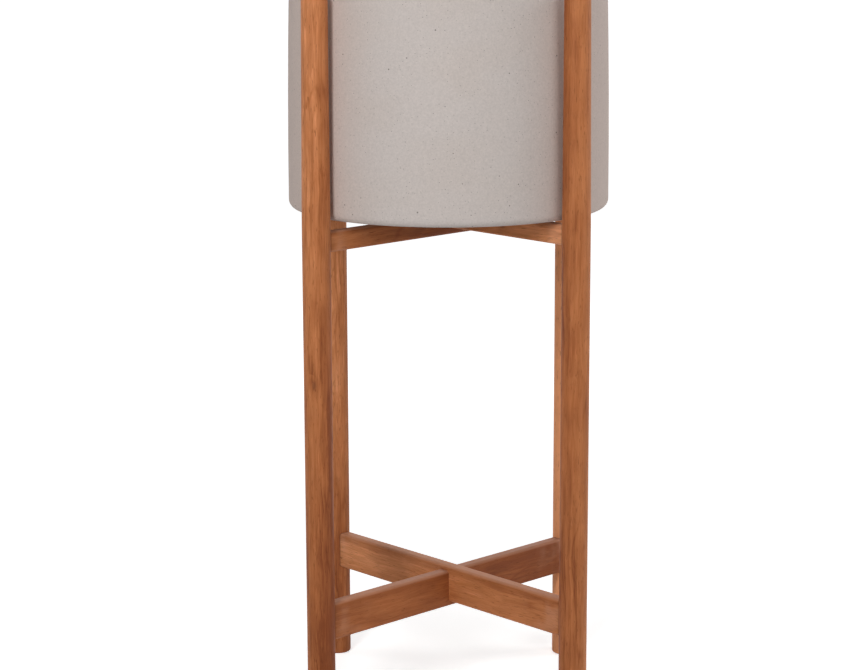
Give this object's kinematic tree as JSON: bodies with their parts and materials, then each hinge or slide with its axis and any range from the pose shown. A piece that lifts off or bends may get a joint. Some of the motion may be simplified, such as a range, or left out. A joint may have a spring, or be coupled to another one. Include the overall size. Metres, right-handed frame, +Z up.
{
  "type": "planter with stand",
  "caption": "Round matte planter pot held by a tall wooden stand, whose round legs hug the pot and are tied by crossed rails under the pot and near the floor.",
  "frame": {"origin": "on the floor, on the centre line of the stand and pot", "axes": "+Z up, -Y towards the viewer of the front, +X to the right seen from the front"},
  "size_m": [0.3489, 0.349, 0.8557],
  "materials": {
    "oiled_wood": "satin",
    "matte_clay": "matte, fine speckle",
    "plug_rubber": "matte"
  },
  "bodies": {
    "stand": {"leg_front_left": "oiled_wood", "leg_front_right": "oiled_wood", "leg_back_left": "oiled_wood", "leg_back_right": "oiled_wood", "upper_rail_under": "oiled_wood", "upper_rail_over": "oiled_wood", "lower_rail_under": "oiled_wood", "lower_rail_over": "oiled_wood"},
    "pot": {"planter_pot": "matte_clay"},
    "plug": {"drain_plug": "plug_rubber"}
  },
  "joints": [
    {"name": "pot_lift", "type": "slide", "parent": "stand", "child": "pot", "axis": [0, 0, 1], "range_m": [0, 0.26]},
    {"name": "plug_pull", "type": "slide", "parent": "pot", "child": "plug", "axis": [0, 0, 1], "range_m": [0, 0.03]}
  ]
}
